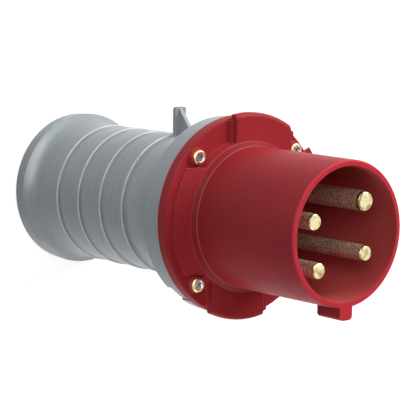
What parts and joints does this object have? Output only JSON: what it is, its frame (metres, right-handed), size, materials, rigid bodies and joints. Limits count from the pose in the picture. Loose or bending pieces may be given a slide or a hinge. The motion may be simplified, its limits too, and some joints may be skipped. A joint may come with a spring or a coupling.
{
  "type": "industrial pin and sleeve plug",
  "caption": "Straight industrial pin and sleeve plug: red shrouded front with round contact pins, screwed to a ringed grey grip with a flared rear and a clamped cable entry.",
  "frame": {"origin": "centre of the rear end face, where the plug stands", "axes": "+Z along the plug's axis towards the sleeve mouth, the way it mates; -Y towards the key, +Y towards the catch lug"},
  "size_m": [0.102, 0.1052, 0.221],
  "materials": {
    "red_plastic": "moulded red polyamide, satin",
    "grey_plastic": "moulded grey polyamide, fine matt grain",
    "black_plastic": "moulded black insulating plastic",
    "pin_brass": "turned brass, mottled on the shafts, bright at the tips",
    "screw_zinc": "steel with yellow zinc plating",
    "steel": "plain zinc-plated steel",
    "insert_brass": "turned brass",
    "rubber": "soft black rubber"
  },
  "bodies": {
    "root": {"cable_bush": "rubber", "carrier_cover": "black_plastic", "carrier_screw_1": "steel", "carrier_screw_2": "steel", "clamp_ring": "grey_plastic", "clamp_screw_1": "screw_zinc", "clamp_screw_2": "screw_zinc", "clamp_screw_3": "screw_zinc", "clamp_screw_4": "screw_zinc", "claw_ring": "black_plastic", "earth_pin": "pin_brass", "earth_terminal_screws": "steel", "flange_screw_1": "screw_zinc", "flange_screw_2": "screw_zinc", "flange_screw_3": "screw_zinc", "flange_screw_4": "screw_zinc", "front_housing": "red_plastic", "grip_housing": "grey_plastic", "housing_seal": "rubber", "line_pin_1": "pin_brass", "line_pin_2": "pin_brass", "line_pin_3": "pin_brass", "line_terminal_screws_1": "steel", "line_terminal_screws_2": "steel", "line_terminal_screws_3": "steel", "pin_carrier": "black_plastic", "thread_insert_1": "insert_brass", "thread_insert_2": "insert_brass", "thread_insert_3": "insert_brass", "thread_insert_4": "insert_brass"}
  },
  "joints": []
}
